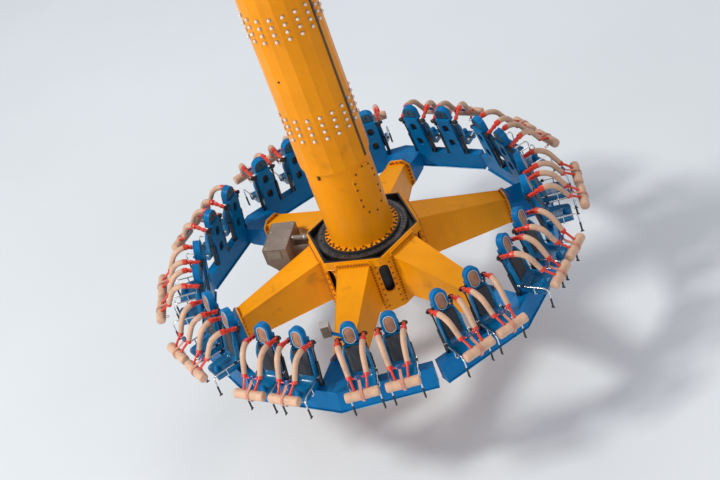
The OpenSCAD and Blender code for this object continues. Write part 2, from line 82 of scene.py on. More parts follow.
# Arm: its top flange, faceted sleeve, round tube with the hatch, and foot flange
NUT_CIRCLE = 0.75
NUT_Z = -0.06
SLEEVE_A = 0.635
FACETS = 18
FACET_TURN = -23
LAMP_ROWS = (2.465, 2.61, 2.75, 2.895, 4.515, 4.655, 4.795, 4.94)
SEAM_Z = 1.7
TUBE_R = 0.6
HATCH_W = 0.54
HATCH_H = 1.05
HATCH_Z = 1.09
HATCH_TURN = -44
FOOT_TOP = 0.03
FOOT_R = 0.725
FOOT_T = 0.045
GEAR_BOLT_R = 0.775
GEAR_TOP = -0.015

# Hub and spokes
SPOKES = 6
SPOKE_TURN = 15
HUB_A = 0.944
RECESS_A = 0.887
RECESS_FOOT = -0.109
RIM_FOOT = -0.152
CORNER_R = 1.002
SLOT_W = 0.19
SLOT_H = 0.62
SLOT_Z = -0.52
ROOT_R = 0.974
ROOT_HALF = 0.30
ROOT_TOP = -0.11
ROOT_FOOT = -0.99
TIP_R = 2.65
TIP_HALF = 0.165
TIP_TOP = -0.63
TIP_FOOT = -1.17

# Control box and drive housing
BOX_SEAT = 18
BOX_AT = Vector((RING_R - 0.328, -0.380, 0.267))
BOX_HALF = Vector((0.080, 0.075, 0.120))
STRUT_Y = -0.085
STRUT_Z = 0.06
COVER_TURN = 150
COVER_NEAR = 1.40
COVER_FAR = 1.86
COVER_HALF = 0.39
COVER_FOOT = -0.45


def inner_r(z):
    """How far out the posts' leaning inner face is at a height."""
    return RING_R - (z - BEAM_FOOT) * math.tan(LEAN)


def front_r(z):
    """The same for their front face, which carries the seat."""
    return inner_r(z) + POST_T / math.cos(LEAN)


PIVOT_R = inner_r(PIVOT_Z) + 0.05
TUBE_START = (BRACKET_L * math.cos(BRACKET_RISE), BRACKET_L * math.sin(BRACKET_RISE))
BEND_AT = (TUBE_START[0] + BEND_R * math.sin(RISE), TUBE_START[1] - BEND_R * math.cos(RISE))
BEND_END = (BEND_AT[0] + BEND_R * math.sin(FALL), BEND_AT[1] + BEND_R * math.cos(FALL))
TUBE_END = (BEND_END[0] + TUBE_RUN * math.cos(FALL), BEND_END[1] - TUBE_RUN * math.sin(FALL))


def turn(deg, axis="Z"):
    return Matrix.Rotation(math.radians(deg), 4, axis)


def shift(x, y, z):
    return Matrix.Translation((x, y, z))


def seat_at(i):
    """Frame of a seat: X outwards through it, at the hub's top plane."""
    return turn(30 * (i // 2)) @ shift(0, (i % 2 - 0.5) * SEAT_PITCH, HUB_Z)


def pivot_at(i):
    """Frame of a restraint's pivot."""
    return seat_at(i) @ shift(PIVOT_R, 0, PIVOT_Z)


# Leaning frame of the posts: X out of the inner face, Z up it from the beam's foot
LEANED = shift(RING_R, 0, BEAM_FOOT) @ Matrix.Rotation(-LEAN, 4, "Y")


def up(z):
    """Length up the leaning frame for a height."""
    return (z - BEAM_FOOT) / math.cos(LEAN)


# Mesh building

class Shape:
    """Simple solids gathered into one mesh."""

    def __init__(self):
        self.verts = []
        self.faces = []
        self.kinds = []

    def add(self, part, at=Matrix(), kind=0):
        verts, faces = part
        base = len(self.verts)
        self.verts += [at @ Vector(v) for v in verts]
        self.faces += [[base + i for i in f] for f in faces]
        self.kinds += [kind] * len(faces)

    def mesh(self, name, materials, sharp=35):
        mesh = bpy.data.meshes.new(name)
        mesh.from_pydata(self.verts, [], self.faces)
        for m in materials:
            mesh.materials.append(m)
        mesh.polygons.foreach_set("material_index", self.kinds)
        bm = bmesh.new()
        bm.from_mesh(mesh)
        bmesh.ops.recalc_face_normals(bm, faces=bm.faces)
        bm.to_mesh(mesh)
        bm.free()
        mesh.polygons.foreach_set("use_smooth", [True] * len(mesh.polygons))
        mesh.set_sharp_from_angle(angle=math.radians(sharp))
        mesh.update()
        return mesh


def placed(name, data, at=Matrix()):
    """New object made of a mesh, lamp or camera."""
    obj = bpy.data.objects.new(name, data)
    bpy.context.scene.collection.objects.link(obj)
    obj.matrix_world = at
    return obj


def box(lo, hi, c=0.004):
    """Box with chamfered edges."""
    verts = []
    faces = []
    index = {}
    for sx in (0, 1):
        for sy in (0, 1):
            for sz in (0, 1):
                s = (sx, sy, sz)
                for k in range(3):
                    p = [hi[a] if s[a] else lo[a] for a in range(3)]
                    for a in range(3):
                        if a != k:
                            p[a] += -c if s[a] else c
                    index[s, k] = len(verts)
                    verts.append(p)
                faces.append([index[s, 0], index[s, 1], index[s, 2]])
    for k in range(3):
        a, b = (k + 1) % 3, (k + 2) % 3
        for side in (0, 1):
            ring = []
            for u, v in ((0, 0), (1, 0), (1, 1), (0, 1)):
                s = [0, 0, 0]
                s[k], s[a], s[b] = side, u, v
                ring.append(index[tuple(s), k])
            faces.append(ring)
        for u in (0, 1):
            for v in (0, 1):
                s, e = [0, 0, 0], [0, 0, 0]
                s[a], s[b], e[a], e[b] = u, v, u, v
                e[k] = 1
                s, e = tuple(s), tuple(e)
                faces.append([index[s, a], index[e, a], index[e, b], index[s, b]])
    return verts, faces


def lathe(profile, segs=24):
    """Solid of revolution round Z; a point on the axis closes it."""
    verts = []
    rings = []
    for r, z in profile:
        if r < 1e-6:
            rings.append([len(verts)] * segs)
            verts.append((0, 0, z))
        else:
            rings.append(list(range(len(verts), len(verts) + segs)))
            for i in range(segs):
                a = 2 * math.pi * i / segs
                verts.append((r * math.cos(a), r * math.sin(a), z))
    faces = []
    for low, high in zip(rings, rings[1:]):
        for i in range(segs):
            j = (i + 1) % segs
            face = list(dict.fromkeys((low[i], low[j], high[j], high[i])))
            if len(face) > 2:
                faces.append(face)
    for ring, r in ((rings[0], profile[0][0]), (rings[-1], profile[-1][0])):
        if r > 1e-6:
            faces.append(list(ring))
    return verts, faces


def hoop(profile, segs=48):
    """Ring of revolution whose profile is a closed outline away from the axis."""
    n = len(profile)
    verts = []
    faces = []
    for i in range(segs):
        a = 2 * math.pi * i / segs
        verts += [(r * math.cos(a), r * math.sin(a), z) for r, z in profile]
    for i in range(segs):
        for k in range(n):
            a, b = i * n, (i + 1) % segs * n
            faces.append([a + k, b + k, b + (k + 1) % n, a + (k + 1) % n])
    return verts, faces


def loft(sections, closed=False):
    """Skin through rings of the same number of points, with end faces unless it is closed."""
    n = len(sections[0])
    verts = [p for ring in sections for p in ring]
    count = len(sections)
    faces = []
    for i in range(count if closed else count - 1):
        a, b = i * n, (i + 1) % count * n
        for k in range(n):
            faces.append([a + k, a + (k + 1) % n, b + (k + 1) % n, b + k])
    if not closed:
        faces += [list(range(n)), list(range((count - 1) * n, count * n))]
    return verts, faces


def sweep(points, radius, segs=12, closed=False, ends=0.0):
    """Tube along points. The radius may be a list, and ends rounds them by that length."""
    pts = [Vector(p) for p in points]
    radii = list(radius) if isinstance(radius, (list, tuple)) else [radius] * len(pts)
    if ends:
        first = (pts[0] - pts[1]).normalized()
        last = (pts[-1] - pts[-2]).normalized()
        caps = ((0.4, 0.92), (0.75, 0.66), (1.0, 0.18))
        lead = [pts[0] + first * ends * s for s, _ in caps][::-1]
        pts = lead + pts + [pts[-1] + last * ends * s for s, _ in caps]
        radii = [radii[0] * f for _, f in caps][::-1] + radii + [radii[-1] * f for _, f in caps]
    count = len(pts)
    rings = []
    side = None
    for i, p in enumerate(pts):
        before = pts[i - 1] if i or closed else p
        after = pts[(i + 1) % count] if i < count - 1 or closed else p
        along = (after - before).normalized()
        if side is None:
            side = along.orthogonal().normalized()
        side = (side - along * side.dot(along)).normalized()
        other = along.cross(side)
        rings.append([p + radii[i] * (math.cos(a) * side + math.sin(a) * other)
                      for a in (2 * math.pi * k / segs for k in range(segs))])
    return loft(rings, closed)


def octagon(a, b, cut):
    """Points round a rectangle of half sizes a and b with cut corners."""
    return [(cut - a, -b), (a - cut, -b), (a, cut - b), (a, b - cut),
            (a - cut, b), (cut - a, b), (-a, b - cut), (-a, cut - b)]


def racetrack(w, h, segs=24):
    """Points round a flat outline with round ends, h tall."""
    half = segs // 2
    pts = []
    for start, middle in ((0, (h - w) / 2), (math.pi, (w - h) / 2)):
        for i in range(half + 1):
            a = start + math.pi * i / half
            pts.append((w / 2 * math.cos(a), middle + w / 2 * math.sin(a)))
    return pts


def hex_bolt(r, h, washer=True):
    """Hexagon head on a washer, standing on z = 0."""
    low = h * 0.25 if washer else 0.0
    top = low + h * 0.75
    head = lathe([(0, low), (r, low), (r, low + h * 0.62), (r * 0.86, top), (0, top)], 6)
    if not washer:
        return head
    base = lathe([(0, 0), (r * 1.35, 0), (r * 1.35, low * 0.8), (r * 1.25, low), (0, low)], 12)
    n = len(base[0])
    return base[0] + head[0], base[1] + [[n + i for i in f] for f in head[1]]


# X out of a face, seen from a matrix whose Z is the way out
OUTWARD = turn(90, "Y")


# Materials

def material(name, color, rough=0.4, metal=0.0, coat=0.0, vary=0.12, scale=1.5, streak=0.0, bump=0.0,
             bump_scale=60.0, dirt=None, dirt_amount=0.0, dirt_scale=4.0, sheen=0.0, spec=0.5):
    """Procedural finish: two tones of the colour, streaks, dirt, uneven roughness and a fine bump."""
    mat = bpy.data.materials.new(name)
    mat.use_nodes = True
    nodes = mat.node_tree.nodes
    links = mat.node_tree.links
    shader = nodes["Principled BSDF"]
    for socket, value in (("Metallic", metal), ("Coat Weight", coat), ("Coat Roughness", 0.12),
                          ("Sheen Weight", sheen), ("Sheen Roughness", 0.5), ("Specular IOR Level", spec)):
        shader.inputs[socket].default_value = value
    coord = nodes.new("ShaderNodeTexCoord")

    def noise_of(size, detail=4.0, stretch=None):
        tex = nodes.new("ShaderNodeTexNoise")
        tex.inputs["Scale"].default_value = size
        tex.inputs["Detail"].default_value = detail
        source = coord.outputs["Object"]
        if stretch:
            mapping = nodes.new("ShaderNodeMapping")
            mapping.inputs["Scale"].default_value = stretch
            links.new(source, mapping.inputs["Vector"])
            source = mapping.outputs["Vector"]
        links.new(source, tex.inputs["Vector"])
        return tex.outputs["Fac"]

    def mix(fac, a, b):
        node = nodes.new("ShaderNodeMix")
        node.data_type = "RGBA"
        links.new(fac, node.inputs["Factor"])
        for socket, value in ((node.inputs[6], a), (node.inputs[7], b)):
            if isinstance(value, tuple):
                socket.default_value = (*value, 1.0)
            else:
                links.new(value, socket)
        return node.outputs[2]

    def ranged(value, low, high, out_low, out_high):
        node = nodes.new("ShaderNodeMapRange")
        for end, at in (("From Min", low), ("From Max", high), ("To Min", out_low), ("To Max", out_high)):
            node.inputs[end].default_value = at
        links.new(value, node.inputs["Value"])
        return node.outputs["Result"]

    dark = tuple(c * (1 - vary) for c in color)
    light = tuple(min(1.0, c * (1 + vary * 0.6)) for c in color)
    broad = noise_of(scale)
    base = mix(ranged(broad, 0.35, 0.65, 0.0, 1.0), dark, light)
    if streak:
        lines = noise_of(6.0, 5.0, (1.0, 1.0, 0.12))
        base = mix(ranged(lines, 0.52, 0.75, 0.0, streak), base, tuple(c * 0.72 for c in color))
    if dirt:
        spots = noise_of(dirt_scale, 8.0)
        base = mix(ranged(spots, 0.62, 0.74, 0.0, dirt_amount), base, dirt)
    links.new(base, shader.inputs["Base Color"])
    fine = noise_of(scale * 9, 6.0)
    worn = ranged(fine, 0.3, 0.7, max(0.02, rough * 0.78), min(1.0, rough * 1.25))
    links.new(worn, shader.inputs["Roughness"])
    if bump:
        grain = noise_of(bump_scale, 5.0)
        node = nodes.new("ShaderNodeBump")
        node.inputs["Strength"].default_value = bump
        node.inputs["Distance"].default_value = 0.002
        links.new(grain, node.inputs["Height"])
        links.new(node.outputs["Normal"], shader.inputs["Normal"])
    mat.diffuse_color = (*color, 1.0)
    return mat


ARM_PAINT = material("arm_paint", (0.81, 0.285, 0.002), 0.40, coat=0.06, vary=0.10, scale=0.7, streak=0.35,
                     spec=0.14, bump=0.10, bump_scale=25, dirt=(0.30, 0.12, 0.008), dirt_amount=0.35,
                     dirt_scale=2.2)
HUB_PAINT = material("hub_paint", (0.92, 0.34, 0.002), 0.42, coat=0.06, vary=0.10, scale=0.9, streak=0.25,
                     spec=0.14, bump=0.12, bump_scale=30, dirt=(0.32, 0.13, 0.008), dirt_amount=0.45,
                     dirt_scale=2.6)
GREASE = material("greased_steel", (0.022, 0.021, 0.024), 0.38, metal=0.35, vary=0.4, scale=6, bump=0.9,
                  bump_scale=45, dirt=(0.20, 0.19, 0.18), dirt_amount=0.5, dirt_scale=9)
GEAR_STEEL = material("gear_steel", (0.085, 0.080, 0.085), 0.34, metal=0.5, vary=0.4, scale=9, bump=0.4,
                      bump_scale=45, dirt=(0.02, 0.018, 0.02), dirt_amount=0.5, dirt_scale=14)
RING_PAINT = material("ring_paint", (0.001, 0.165, 0.44), 0.36, coat=0.05, vary=0.20, scale=1.1, streak=0.3,
                      spec=0.12, bump=0.12, bump_scale=30, dirt=(0.004, 0.05, 0.10), dirt_amount=0.4,
                      dirt_scale=3)
SHELL_PAINT = material("seat_shell", (0.001, 0.15, 0.36), 0.26, coat=0.18, vary=0.16, scale=2.2, spec=0.3,
                       bump=0.08, bump_scale=80)
DARK_PAD = material("dark_pad", (0.018, 0.022, 0.034), 0.62, vary=0.3, scale=5, bump=0.5, bump_scale=140,
                    sheen=0.15)
TAN_PAD = material("tan_pad", (0.36, 0.17, 0.10), 0.55, vary=0.25, scale=7, bump=0.5, bump_scale=150,
                   sheen=0.1)
CHROME = material("rail_chrome", (0.74, 0.75, 0.77), 0.16, metal=1.0, vary=0.08, scale=8, bump=0.05,
                  bump_scale=90)
COVER_PAINT = material("cover_paint", (0.235, 0.185, 0.16), 0.45, coat=0.15, vary=0.2, scale=2.5,
                       streak=0.3, bump=0.2, bump_scale=50, dirt=(0.10, 0.07, 0.05), dirt_amount=0.5)
# Dark brown for the cable duct: painted shadow, standing for the shadow line along the duct's edge.
DUCT_SHADOW_DARK = material("duct_black", (0.05, 0.028, 0.014), 0.5, vary=0.3, scale=4, bump=0.2)
BEIGE_PAD = material("restraint_pad", (0.60, 0.37, 0.255), 0.5, vary=0.16, scale=5, bump=0.35,
                     bump_scale=120, dirt=(0.38, 0.22, 0.13), dirt_amount=0.4, dirt_scale=7, sheen=0.1)
RED_PAINT = material("restraint_red", (0.72, 0.035, 0.010), 0.34, coat=0.35, vary=0.15, scale=6, bump=0.1,
                     dirt=(0.20, 0.02, 0.01), dirt_amount=0.4, dirt_scale=10)
BOLT_STEEL = material("bolt_steel", (0.50, 0.50, 0.51), 0.34, metal=0.9, vary=0.2, scale=30, bump=0.1)
BOLT_DARK = material("bolt_dark", (0.12, 0.055, 0.014), 0.5, metal=0.3, vary=0.3, scale=30, bump=0.1)
CYLINDER_BLACK = material("cylinder_black", (0.020, 0.020, 0.022), 0.32, metal=0.2, coat=0.2, vary=0.3,
                          scale=9, bump=0.2)
BLACK_RUBBER = material("black_rubber", (0.016, 0.016, 0.018), 0.55, vary=0.3, scale=20, bump=0.3,
                        bump_scale=150)
LAMP_GLASS = material("lamp_dome", (0.80, 0.66, 0.58), 0.16, coat=0.8, vary=0.12, scale=30)
LAMP_BASE = material("lamp_base", (0.30, 0.27, 0.26), 0.4, metal=0.4, vary=0.2, scale=30)
CHEST_BLUE = material("chest_blue", (0.012, 0.055, 0.20), 0.35, coat=0.4, vary=0.15, scale=12, bump=0.1)
# Darker copy of the ring's blue: painted shade on the back of the posts' heads.
HEAD_SHADE_PAINT = material("head_back_painted_shade", (0.003, 0.075, 0.15), 0.42, coat=0.1, vary=0.25, scale=7, bump=0.2,
                     bump_scale=60)
PANE = material("inspection_pane", (0.26, 0.26, 0.22), 0.2, coat=0.4, vary=0.1, scale=5)
BOLT_PAINTED = material("bolt_painted", (0.36, 0.12, 0.010), 0.5, vary=0.3, scale=30, bump=0.1)
# Pale grey lid and dark brown panels of the control box: painted light on its top, painted shade on its
# sides.
BOX_LID_LIT = material("box_lid_painted_light", (0.40, 0.38, 0.38), 0.4, coat=0.2, vary=0.1, scale=6, bump=0.1)
BOX_SIDE_SHADE = material("box_sides_painted_shade", (0.085, 0.055, 0.042), 0.4, coat=0.15, vary=0.2, scale=6, bump=0.15)
STRAP = material("strap_webbing", (0.62, 0.24, 0.17), 0.7, vary=0.15, scale=14, bump=0.6, bump_scale=260,
                 sheen=0.2)
# Pale blue for the beams' lip edges: a painted highlight of reflected sky.
LIP_HIGHLIGHT = material("lip_painted_highlight", (0.16, 0.42, 0.62), 0.28, coat=0.4, vary=0.1, scale=3)
PALE_TRIM = material("pale_trim", (0.50, 0.53, 0.58), 0.35, coat=0.3, vary=0.08, scale=9)

NODE_LOOKS = (
    (ARM_PAINT, "arm_flange arm_sleeve seam_ring lower_tube hatch_cover flange_gussets"),
    (HUB_PAINT, "foot_flange hub_rim hub_face_plates hub_corner_panels hub_bottom_plate spokes"),
    (RING_PAINT, "ring_segments seat_posts"), (GREASE, "bearing_ring hub_floor"),
    # The cable duct is coloured dark as painted shadow of its edge.
    (COVER_PAINT, "drive_cover control_box"), (GEAR_STEEL, "slewing_gear"), (DUCT_SHADOW_DARK, "cable_duct"),
    (CHROME, "side_rails"), (CYLINDER_BLACK, "lock_cylinders"),
)
for look, nodes in NODE_LOOKS:
    for node in nodes.split():
        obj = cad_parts[node]
        obj.data.materials.clear()
        obj.data.materials.append(look)


def ride(obj, body):
    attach(obj, body)
    return obj


def fixed(name, shape, looks, body, sharp=35):
    """One piece made of a shape, riding on a body."""
    return ride(placed(name, shape.mesh(name, looks, sharp)), body)


# Swing arm

def lamp_bands():
    """Two bands of lamp domes, four to a facet."""
    base = lathe([(0, 0), (0.036, 0), (0.036, 0.010), (0.030, 0.016), (0, 0.016)], 14)
    dome = lathe([(0.028, 0.012), (0.030, 0.026), (0.024, 0.040), (0.012, 0.048), (0, 0.050)], 14)
    for half, rows in (("low", LAMP_ROWS[:4]), ("high", LAMP_ROWS[4:])):
        shape = Shape()
        for i in range(FACETS):
            for z in rows:
                at = turn(FACET_TURN + i * 360 / FACETS) @ shift(SLEEVE_A, 0, HUB_Z + z) @ OUTWARD
                shape.add(base, at)
                shape.add(dome, at, 1)
        fixed("lamp_band_" + half, shape, [LAMP_BASE, LAMP_GLASS], "arm")


def arm_bolts():
    """Nuts under the top flange, two rows of bolts on the foot flange and the bolts of the hatch cover."""
    shape = Shape()
    nut = hex_bolt(0.034, 0.034)
    for i in range(24):
        at = turn((i + 0.5) * 15) @ shift(NUT_CIRCLE, 0, NUT_Z) @ turn(180, "X")
        shape.add(nut, at)
    for out, count, size in ((0.062, 42, 0.018), (0.022, 24, 0.014)):
        foot = hex_bolt(size, 0.024)
        for i in range(count):
            shape.add(foot, turn(i * 360 / count) @ shift(TUBE_R + out, 0, HUB_Z + FOOT_TOP), 1)
    lid = hex_bolt(0.017, 0.016)
    lid_r = TUBE_R + 0.014
    inset = 0.035
    marks = racetrack(HATCH_W - 2 * inset, HATCH_H - 2 * inset, 8)
    marks += [(s * (HATCH_W / 2 - inset), z) for s in (-1, 1) for z in (-0.11, 0.11)]
    for t, z in marks:
        a = HATCH_TURN + math.degrees(math.asin(t / lid_r))
        shape.add(lid, turn(a) @ shift(lid_r, 0, HUB_Z + HATCH_Z + z) @ OUTWARD, 1)
    fixed("arm_bolts", shape, [BOLT_STEEL, BOLT_DARK], "arm")


def arm_trims():
    """Weld beads at the flange and the seam, two stops under the seam and two plugs in the sleeve."""
    shape = Shape()
    bead = 0.008
    seams = ((TUBE_R + 0.002, FOOT_TOP + 0.002), (TUBE_R + 0.002, SEAM_Z - 0.002),
             (SLEEVE_A - 0.003, SEAM_Z + 0.029))
    turns = [2 * math.pi * k / 96 for k in range(96)]
    for r, z in seams:
        ring = [(r * math.cos(a), r * math.sin(a), HUB_Z + z) for a in turns]
        shape.add(sweep(ring, bead, 6, closed=True))
    stop = box((0, -0.022, -0.04), (0.035, 0.022, 0.05), 0.006)
    for a in (-122, 58):
        shape.add(stop, turn(a) @ shift(TUBE_R, 0, HUB_Z + SEAM_Z - 0.06), 1)
    plug = lathe([(0, 0), (0.022, 0), (0.022, 0.006), (0.014, 0.008), (0, 0.002)], 16)
    plug_z = 3.71
    for a in (-126, 54):
        shape.add(plug, turn(a) @ shift(SLEEVE_A + 0.003, 0, HUB_Z + plug_z) @ OUTWARD, 2)
    fixed("arm_trims", shape, [ARM_PAINT, BOLT_DARK, BLACK_RUBBER], "arm")


# Hub and slewing ring

def hub_bolts():
    """Rows of bolts round each spoke's root and beside each corner slot."""
    shape = Shape()
    bolt = hex_bolt(0.014, 0.020)
    for k in range(SPOKES):
        face = turn(SPOKE_TURN + 60 * k)
        for i in range(12):
            y = (i - 5.5) * 0.052
            shape.add(bolt, face @ shift(ROOT_R, y, HUB_Z - 0.062) @ OUTWARD)
        for s in (-1, 1):
            for i in range(16):
                at = face @ shift(ROOT_R, s * (ROOT_HALF + 0.025), HUB_Z - 0.13 - i * 0.066)
                shape.add(bolt, at @ OUTWARD)
        corner = turn(SPOKE_TURN + 60 * k + 30)
        for s in (-1, 1):
            for i in range(8):
                shape.add(bolt, corner @ shift(CORNER_R, s * 0.13, HUB_Z - 0.20 - i * 0.13) @ OUTWARD)
    fixed("hub_bolts", shape, [BOLT_PAINTED], "gondola")


def hub_trims():
    """Weld beads round the rim and the slots, and a black sheet inside the corner panels, which is painted
    shade seen through the slots.
    """
    shape = Shape()
    pts = []
    for k in range(SPOKES):
        a = math.radians(SPOKE_TURN + 60 * k + 30)
        half = math.radians(1.7)
        for s in (-1, 1):
            r = HUB_A / math.cos(math.radians(30) - half)
            pts.append((r * math.cos(a + s * half), r * math.sin(a + s * half), HUB_Z + RIM_FOOT))
    shape.add(sweep(pts, 0.007, 6, closed=True))
    slot = racetrack(SLOT_W + 0.012, SLOT_H + 0.012, 28)
    for k in range(SPOKES):
        at = turn(SPOKE_TURN + 60 * k + 30) @ shift(CORNER_R + 0.001, 0, HUB_Z + SLOT_Z)
        shape.add(sweep([(0, t, z) for t, z in slot], 0.007, 6, closed=True), at)
    # A black sheet where the hub's inside shows through the slots: painted shade, not a part.
    shade_sheet = hoop([(0.896, -1.19), (0.904, -1.19), (0.904, -0.16), (0.896, -0.16)], 48)
    shape.add(shade_sheet, shift(0, 0, HUB_Z), 1)
    fixed("hub_trims", shape, [HUB_PAINT, BLACK_RUBBER], "gondola")


def gear_bolts():
    """Cap screws round the top of the slewing gear."""
    shape = Shape()
    cap = lathe([(0, 0), (0.014, 0), (0.014, 0.014), (0.010, 0.018), (0, 0.018)], 10)
    for i in range(60):
        shape.add(cap, turn(i * 6 + 2) @ shift(GEAR_BOLT_R, 0, HUB_Z + GEAR_TOP))
    fixed("slewing_bolts", shape, [GEAR_STEEL], "arm")


def seals():
    """Black lip seal round the foot flange, and the black liner with its lip inside the hub's rim."""
    shape = Shape()
    low = FOOT_TOP - FOOT_T + 0.001
    lip = [(FOOT_R - 0.036, FOOT_TOP), (FOOT_R - 0.034, FOOT_TOP + 0.005), (FOOT_R + 0.002, FOOT_TOP + 0.004),
           (FOOT_R + 0.003, low), (FOOT_R, low), (FOOT_R, FOOT_TOP)]
    shape.add(hoop(lip, 128), shift(0, 0, HUB_Z))
    fixed("bearing_seal", shape, [BLACK_RUBBER], "arm")
    shape = Shape()
    liner = [(RECESS_A - 0.006, RECESS_FOOT), (RECESS_A - 0.006, 0.003), (RECESS_A, 0.005),
             (RECESS_A + 0.026, 0.004), (RECESS_A + 0.028, 0), (RECESS_A, 0), (RECESS_A, RECESS_FOOT)]
    wide = [(r / math.cos(math.pi / 6), z) for r, z in liner]
    shape.add(hoop(wide, 6), turn(SPOKE_TURN + 30) @ shift(0, 0, HUB_Z))
    fixed("rim_liner", shape, [BLACK_RUBBER], "gondola", 30)


# Spokes

def spoke_dress():
    """Bolts on both sides of the joint at each spoke's tip, and the weld beads at its edges."""
    shape = Shape()
    bolt = hex_bolt(0.020, 0.022)
    w, h, cut = 0.48, 0.69, 0.12
    mid = -0.56 - h / 2
    ring = [(y, mid + z) for y, z in octagon(w / 2, h / 2, cut)]
    inset = 0.034
    marks = []
    for (y0, z0), (y1, z1) in zip(ring, ring[1:] + ring[:1]):
        length = math.hypot(y1 - y0, z1 - z0)
        count = max(1, round(length / 0.085))
        ny, nz = (z1 - z0) / length, -(y1 - y0) / length
        for i in range(count):
            f = (i + 0.5) / count
            marks.append((y0 + (y1 - y0) * f - ny * inset, z0 + (z1 - z0) * f - nz * inset))
    for k in range(SPOKES):
        at = turn(SPOKE_TURN + 60 * k) @ shift(0, 0, HUB_Z)
        for y, z in marks:
            shape.add(bolt, at @ shift(TIP_R, y, z) @ turn(-90, "Y"))
            shape.add(bolt, at @ shift(TIP_R + 0.06, y, z) @ OUTWARD)
        x, y, wide, high = ROOT_R + 0.01, ROOT_HALF, ROOT_HALF + 0.002, ROOT_TOP + 0.003
        edge = [(x, -y, high), (x, y, high), (x, wide, ROOT_FOOT), (x, -wide, ROOT_FOOT)]
        shape.add(sweep(edge, 0.007, 6, closed=True), at, 1)
        x, y = TIP_R - 0.005, TIP_HALF
        tip = [(x, -y, TIP_TOP), (x, y, TIP_TOP), (x, y, TIP_FOOT), (x, -y, TIP_FOOT)]
        shape.add(sweep(tip, 0.007, 6, closed=True), at, 1)
        for s in (-1, 1):
            for low, high in ((ROOT_TOP, TIP_TOP), (ROOT_FOOT, TIP_FOOT)):
                line = [(ROOT_R, s * ROOT_HALF, low), (TIP_R, s * TIP_HALF, high)]
                shape.add(sweep(line, 0.006, 6), at, 1)
    fixed("spoke_bolts_and_welds", shape, [BOLT_PAINTED, HUB_PAINT], "gondola")


# Seats: everything is made once and placed at each of the twenty-four seats

def shell_mesh():
    """Moulded bucket: a lofted section with bolsters along the back, the pan and the nose."""
    path = []
    for i in range(9):
        z = 0.034 - i * 0.065
        path.append(Vector((front_r(z) + 0.040, z)))
    knee = Vector((front_r(SEAT_Z) + 0.045, SEAT_Z + 0.004))
    start = path[-1]
    exit_pan = Vector((knee.x + 0.12, knee.y))
    for i in range(1, 8):
        f = i / 8
        path.append(start.lerp(knee, f).lerp(knee.lerp(exit_pan, f), f))
    nose = front_r(SEAT_Z) + SEAT_DEPTH
    for i in range(7):
        f = i / 6
        path.append(exit_pan.lerp(Vector((nose - 0.05, SEAT_Z + 0.006)), f))
    for a in (20, 45, 70, 90):
        t = math.radians(a)
        path.append(Vector((nose - 0.05 + 0.045 * math.sin(t), SEAT_Z + 0.006 - 0.045 * (1 - math.cos(t)))))
    path.append(Vector((nose - 0.006, SEAT_Z - 0.062)))
    n = len(path)
    rings = []
    for i, p in enumerate(path):
        d = (path[min(i + 1, n - 1)] - path[max(i - 1, 0)]).normalized()
        normal = Vector((-d.y, d.x))
        f = i / (n - 1)
        half = SEAT_W / 2
        if f < 0.12:
            half -= 0.05 * (1 - f / 0.12) ** 2
        if f > 0.86:
            half -= 0.03 * ((f - 0.86) / 0.14) ** 2
        tall = 0.058 * min(1.0, 0.25 + f / 0.15) * (1.0 if f < 0.66 else max(0.15, 1 - (f - 0.66) / 0.28))
        thick = 0.036 + (0.020 if f > 0.5 else 0.0)
        right = [(half - 0.012, -thick), (half, 0.012 - thick), (half, tall * 0.35),
                 (half - 0.004, tall * 0.85), (half - 0.018, tall), (half - 0.034, tall * 0.90),
                 (half - 0.050, tall * 0.30), (half - 0.075, 0.004), (half * 0.45, 0)]
        left = [(-t, h) for t, h in reversed(right)]
        under = [(half * part, -thick) for part in (-0.5, 0, 0.5)]
        outline = left[8:] + under + right + [(0, -0.002)] + left[:8]
        rings.append([(p.x + normal.x * h, t, p.y + normal.y * h) for t, h in outline])
    shape = Shape()
    shape.add(loft(rings))
    rim = front_r(SEAT_Z) + 0.4
    horn = lathe([(0, -0.02), (0.062, -0.02), (0.062, 0.0), (0.056, 0.012), (0.054, 0.045), (0.046, 0.075),
                  (0.028, 0.095), (0, 0.102)], 24)
    shape.add(horn, shift(rim, 0, SEAT_Z), 1)
    edge = [(nose - 0.004, y, SEAT_Z - 0.040) for y in (-0.19, -0.1, 0, 0.1, 0.19)]
    shape.add(sweep(edge, 0.007, 8, ends=0.006), kind=2)
    return shape.mesh("seat_shell", [SHELL_PAINT, RING_PAINT, PALE_TRIM], 50)


